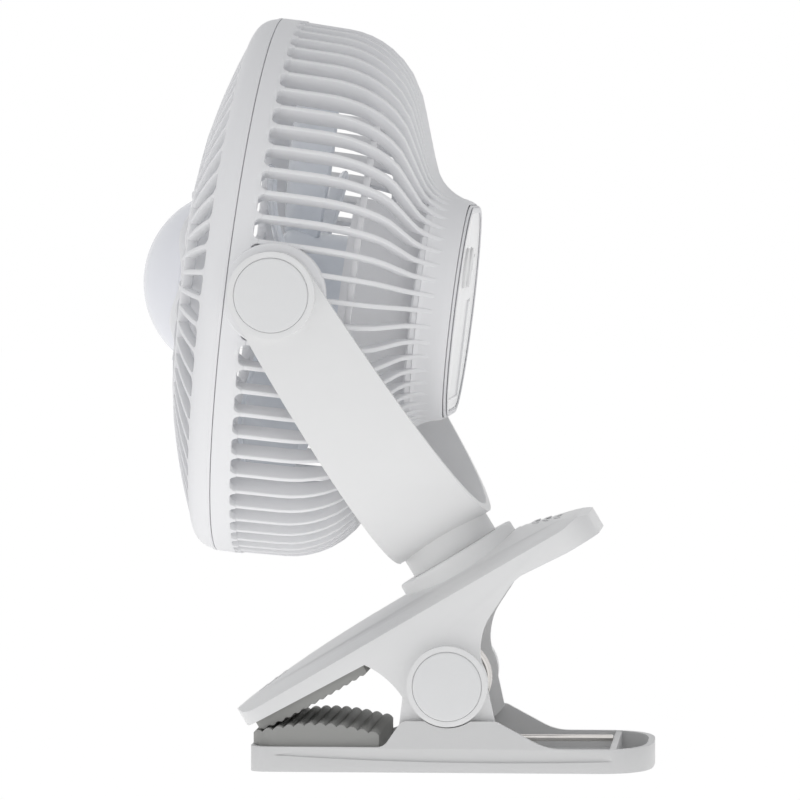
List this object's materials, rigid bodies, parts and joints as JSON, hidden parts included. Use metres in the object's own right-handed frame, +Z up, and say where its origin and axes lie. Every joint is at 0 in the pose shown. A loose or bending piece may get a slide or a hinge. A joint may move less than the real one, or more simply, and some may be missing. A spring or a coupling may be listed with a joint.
{
  "type": "clip fan",
  "caption": "White clip fan: round caged head with a domed lamp at the front, tilting in a U-shaped yoke that swivels on a spring clip with ribbed rubber jaws and a flat base.",
  "frame": {"origin": "middle of the clip base's flat underside", "axes": "+Z up, +X to the back of the fan, +Y across; the fan blows towards -X"},
  "size_m": [0.205, 0.2398, 0.2978],
  "materials": {
    "white_shell": "fine satin moulded white plastic",
    "white_gloss": "smooth white plastic",
    "grey_rubber": "grey moulded rubber",
    "steel": "plated steel",
    "spring_steel": "bright spring wire",
    "motor_steel": "zinc plated can",
    "button_plastic": "smooth pale grey plastic",
    "board": "green circuit board",
    "cell_wrap": "shrink sleeve over a round cell",
    "blade_plastic": "thin bluish white plastic",
    "lens_plastic": "milky diffusing plastic"
  },
  "bodies": {
    "base": {"base_shell": "white_shell", "clip_pin": "steel", "lower_pad": "grey_rubber", "clip_spring": "spring_steel"},
    "lever": {"lever_shell": "white_shell", "pivot_caps": "white_gloss", "upper_pad": "grey_rubber", "swivel_plate": "white_gloss"},
    "yoke": {"yoke_hoop": "white_shell", "knob_caps": "white_gloss", "tilt_screws": "steel", "tilt_washers": "steel", "swivel_washer": "steel", "swivel_screw": "steel"},
    "head": {"rear_cage": "white_shell", "back_cover": "white_gloss", "circuit_board": "board", "charging_port": "steel", "motor_pod": "white_shell", "motor": "motor_steel", "motor_screws": "steel", "battery_cells": "cell_wrap", "front_grille": "white_shell", "lamp_lens": "lens_plastic", "led_board": "board"},
    "fan": {"impeller": "blade_plastic", "motor_shaft": "steel"},
    "power_key": {"power_button": "button_plastic"},
    "lamp_key": {"lamp_button": "button_plastic"}
  },
  "joints": [
    {"name": "clip_hinge", "type": "hinge", "parent": "base", "child": "lever", "pos_m": [-0.0005, 0, 0.0341], "axis": [0, 1, 0], "range_deg": [0, 36], "stiffness_Nm_per_rad": 1.5, "springref_deg": -68.75, "deforming": ["clip_spring"]},
    {"name": "swivel", "type": "hinge", "parent": "lever", "child": "yoke", "pos_m": [0.0022, 0, 0.0805], "axis": [-0.515, 0, 0.8572], "continuous": true},
    {"name": "head_tilt", "type": "hinge", "parent": "yoke", "child": "head", "pos_m": [-0.06299, 0, 0.189], "axis": [0, 1, 0], "continuous": true},
    {"name": "fan_spin", "type": "hinge", "parent": "head", "child": "fan", "pos_m": [-0.06299, 0, 0.189], "axis": [-0.9925, 0, 0.1219], "continuous": true},
    {"name": "power_press", "type": "slide", "parent": "head", "child": "power_key", "axis": [-0.9925, 0, 0.1219], "range_m": [0, 0.0012], "stiffness_N_per_m": 800, "springref_m": -0.001},
    {"name": "lamp_press", "type": "slide", "parent": "head", "child": "lamp_key", "axis": [-0.9925, 0, 0.1219], "range_m": [0, 0.0012], "stiffness_N_per_m": 800, "springref_m": -0.001}
  ]
}
